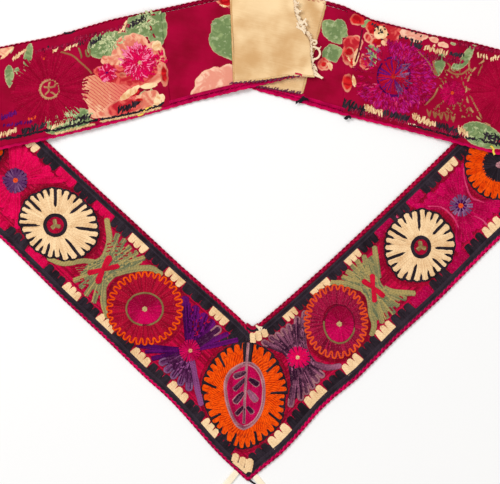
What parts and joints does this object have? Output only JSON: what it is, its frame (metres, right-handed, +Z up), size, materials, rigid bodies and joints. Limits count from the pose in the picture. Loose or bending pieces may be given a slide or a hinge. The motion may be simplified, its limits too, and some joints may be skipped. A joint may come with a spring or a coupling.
{
  "type": "v-shaped embroidered suzani band",
  "caption": "V-shaped embroidered cloth band with a braided edging, laid flat with both arms folded over and their loose ends crossed.",
  "frame": {"origin": "in the middle of the V's corner, on the band's underside", "axes": "+X from the left arm to the right arm, +Y from the point of the V to its opening, +Z up out of the surface that it rests on"},
  "size_m": [0.6433, 0.5461, 0.0072],
  "materials": {
    "crimson_embroidery": "silk embroidery on cotton, matt to a low sheen",
    "printed_cotton": "printed cotton, matt",
    "undyed_cotton": "coarse undyed cotton, matt",
    "pink_edging": "braided silk edging",
    "dark_edging": "braided silk edging",
    "cream_tape": "woven cotton tape, matt"
  },
  "bodies": {
    "root": {"band": "crimson_embroidery", "extension_left": "printed_cotton", "extension_right": "printed_cotton", "end_left": "undyed_cotton", "end_right": "undyed_cotton", "edging_outer": "pink_edging", "edging_inner": "dark_edging", "tie_left": "cream_tape", "tie_right": "cream_tape"}
  },
  "joints": []
}
